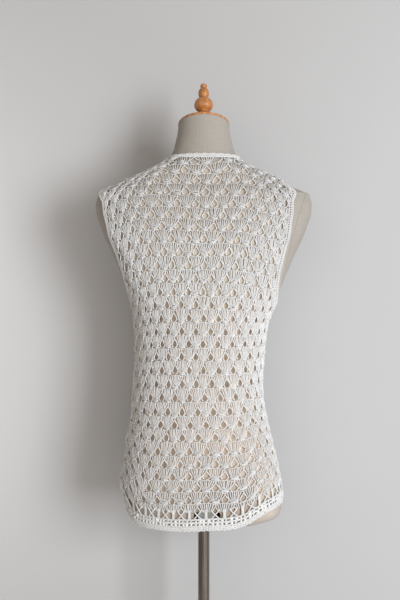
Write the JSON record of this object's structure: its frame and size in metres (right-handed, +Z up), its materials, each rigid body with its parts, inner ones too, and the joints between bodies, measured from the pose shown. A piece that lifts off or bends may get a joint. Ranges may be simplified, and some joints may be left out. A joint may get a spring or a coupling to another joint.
{
  "type": "sleeveless crochet top on a dress form",
  "caption": "Sleeveless openwork crochet top with staggered fan stitches and a netted hem border, worn by a padded limbless dress form on a round-based pole stand.",
  "frame": {"origin": "middle of the base's underside, on the pole's axis, on the floor", "axes": "+Z up along the pole; +Y the way the wearer faces, so the back of the top faces -Y; +X the wearer's right"},
  "size_m": [0.428, 0.34, 1.6294],
  "materials": {
    "crochet_cotton": "off-white cotton yarn, matt",
    "beige_linen": "beige linen cover, matt plain weave",
    "turned_wood": "turned, stained orange-brown, satin",
    "dark_chrome": "dark polished tube",
    "black_steel": "black powder coat",
    "grey_steel": "dull grey"
  },
  "bodies": {
    "root": {"top_back": "crochet_cotton", "top_front": "crochet_cotton", "top_hem_back": "crochet_cotton", "top_hem_front": "crochet_cotton", "top_armhole_left": "crochet_cotton", "top_armhole_right": "crochet_cotton", "top_neckband": "crochet_cotton", "form_torso": "beige_linen", "form_arm_cap_left": "beige_linen", "form_arm_cap_right": "beige_linen", "neck_cap": "turned_wood", "neck_finial": "turned_wood", "form_flange": "black_steel", "form_clamp": "grey_steel", "stand_pole": "dark_chrome", "stand_socket": "dark_chrome", "stand_base": "black_steel"}
  },
  "joints": []
}
